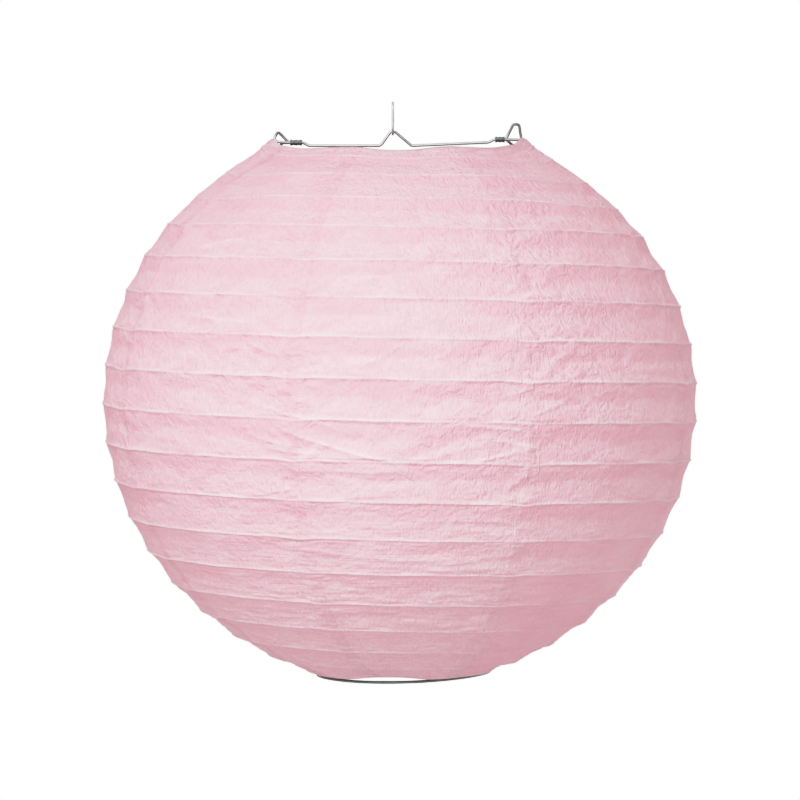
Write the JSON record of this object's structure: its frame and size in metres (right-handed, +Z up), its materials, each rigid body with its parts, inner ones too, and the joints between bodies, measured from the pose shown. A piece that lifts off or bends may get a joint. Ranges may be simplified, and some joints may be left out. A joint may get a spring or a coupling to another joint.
{
  "type": "paper lantern",
  "caption": "Round ribbed tissue-paper lantern held open by a wire expander, hanging from a small wire loop.",
  "frame": {"origin": "inside top of the hanging loop's eye, where a hook or string takes the weight", "axes": "+Z up along the hanging loop, +X along the expander's top bar to its taller end loop, +Y away from the viewer"},
  "size_m": [0.2484, 0.2485, 0.2416],
  "materials": {
    "tissue_paper": "thin crinkled pale pink tissue, matt and translucent",
    "steel_wire": "bright drawn wire",
    "crimped_steel": "dull dark crimped sleeve"
  },
  "bodies": {
    "hanger": {"hanging_loop": "steel_wire"},
    "expander": {"top_bar": "steel_wire", "leg_frame": "steel_wire", "ferrule_left": "crimped_steel", "ferrule_right": "crimped_steel"},
    "shade": {"bottom_ring": "steel_wire", "rib_wire": "steel_wire", "paper_gore_1": "tissue_paper", "paper_gore_2": "tissue_paper", "paper_gore_3": "tissue_paper", "paper_gore_4": "tissue_paper", "paper_gore_5": "tissue_paper", "paper_gore_6": "tissue_paper", "paper_gore_7": "tissue_paper", "paper_gore_8": "tissue_paper"},
    "top_hoop": {"top_ring": "steel_wire"}
  },
  "joints": [
    {"name": "lantern_swing", "type": "hinge", "parent": "hanger", "child": "expander", "pos_m": [0, 0, -0.0118], "axis": [1, 0, 0], "range_deg": [-90, 90]},
    {"name": "shade_release", "type": "slide", "parent": "expander", "child": "shade", "axis": [0, 0, -1], "range_m": [0, 0.25]},
    {"name": "collapse", "type": "slide", "parent": "shade", "child": "top_hoop", "axis": [0, 0, -1], "range_m": [0, 0.205], "deforming": ["rib_wire", "paper_gore_1", "paper_gore_2", "paper_gore_3", "paper_gore_4", "paper_gore_5", "paper_gore_6", "paper_gore_7", "paper_gore_8"]}
  ]
}
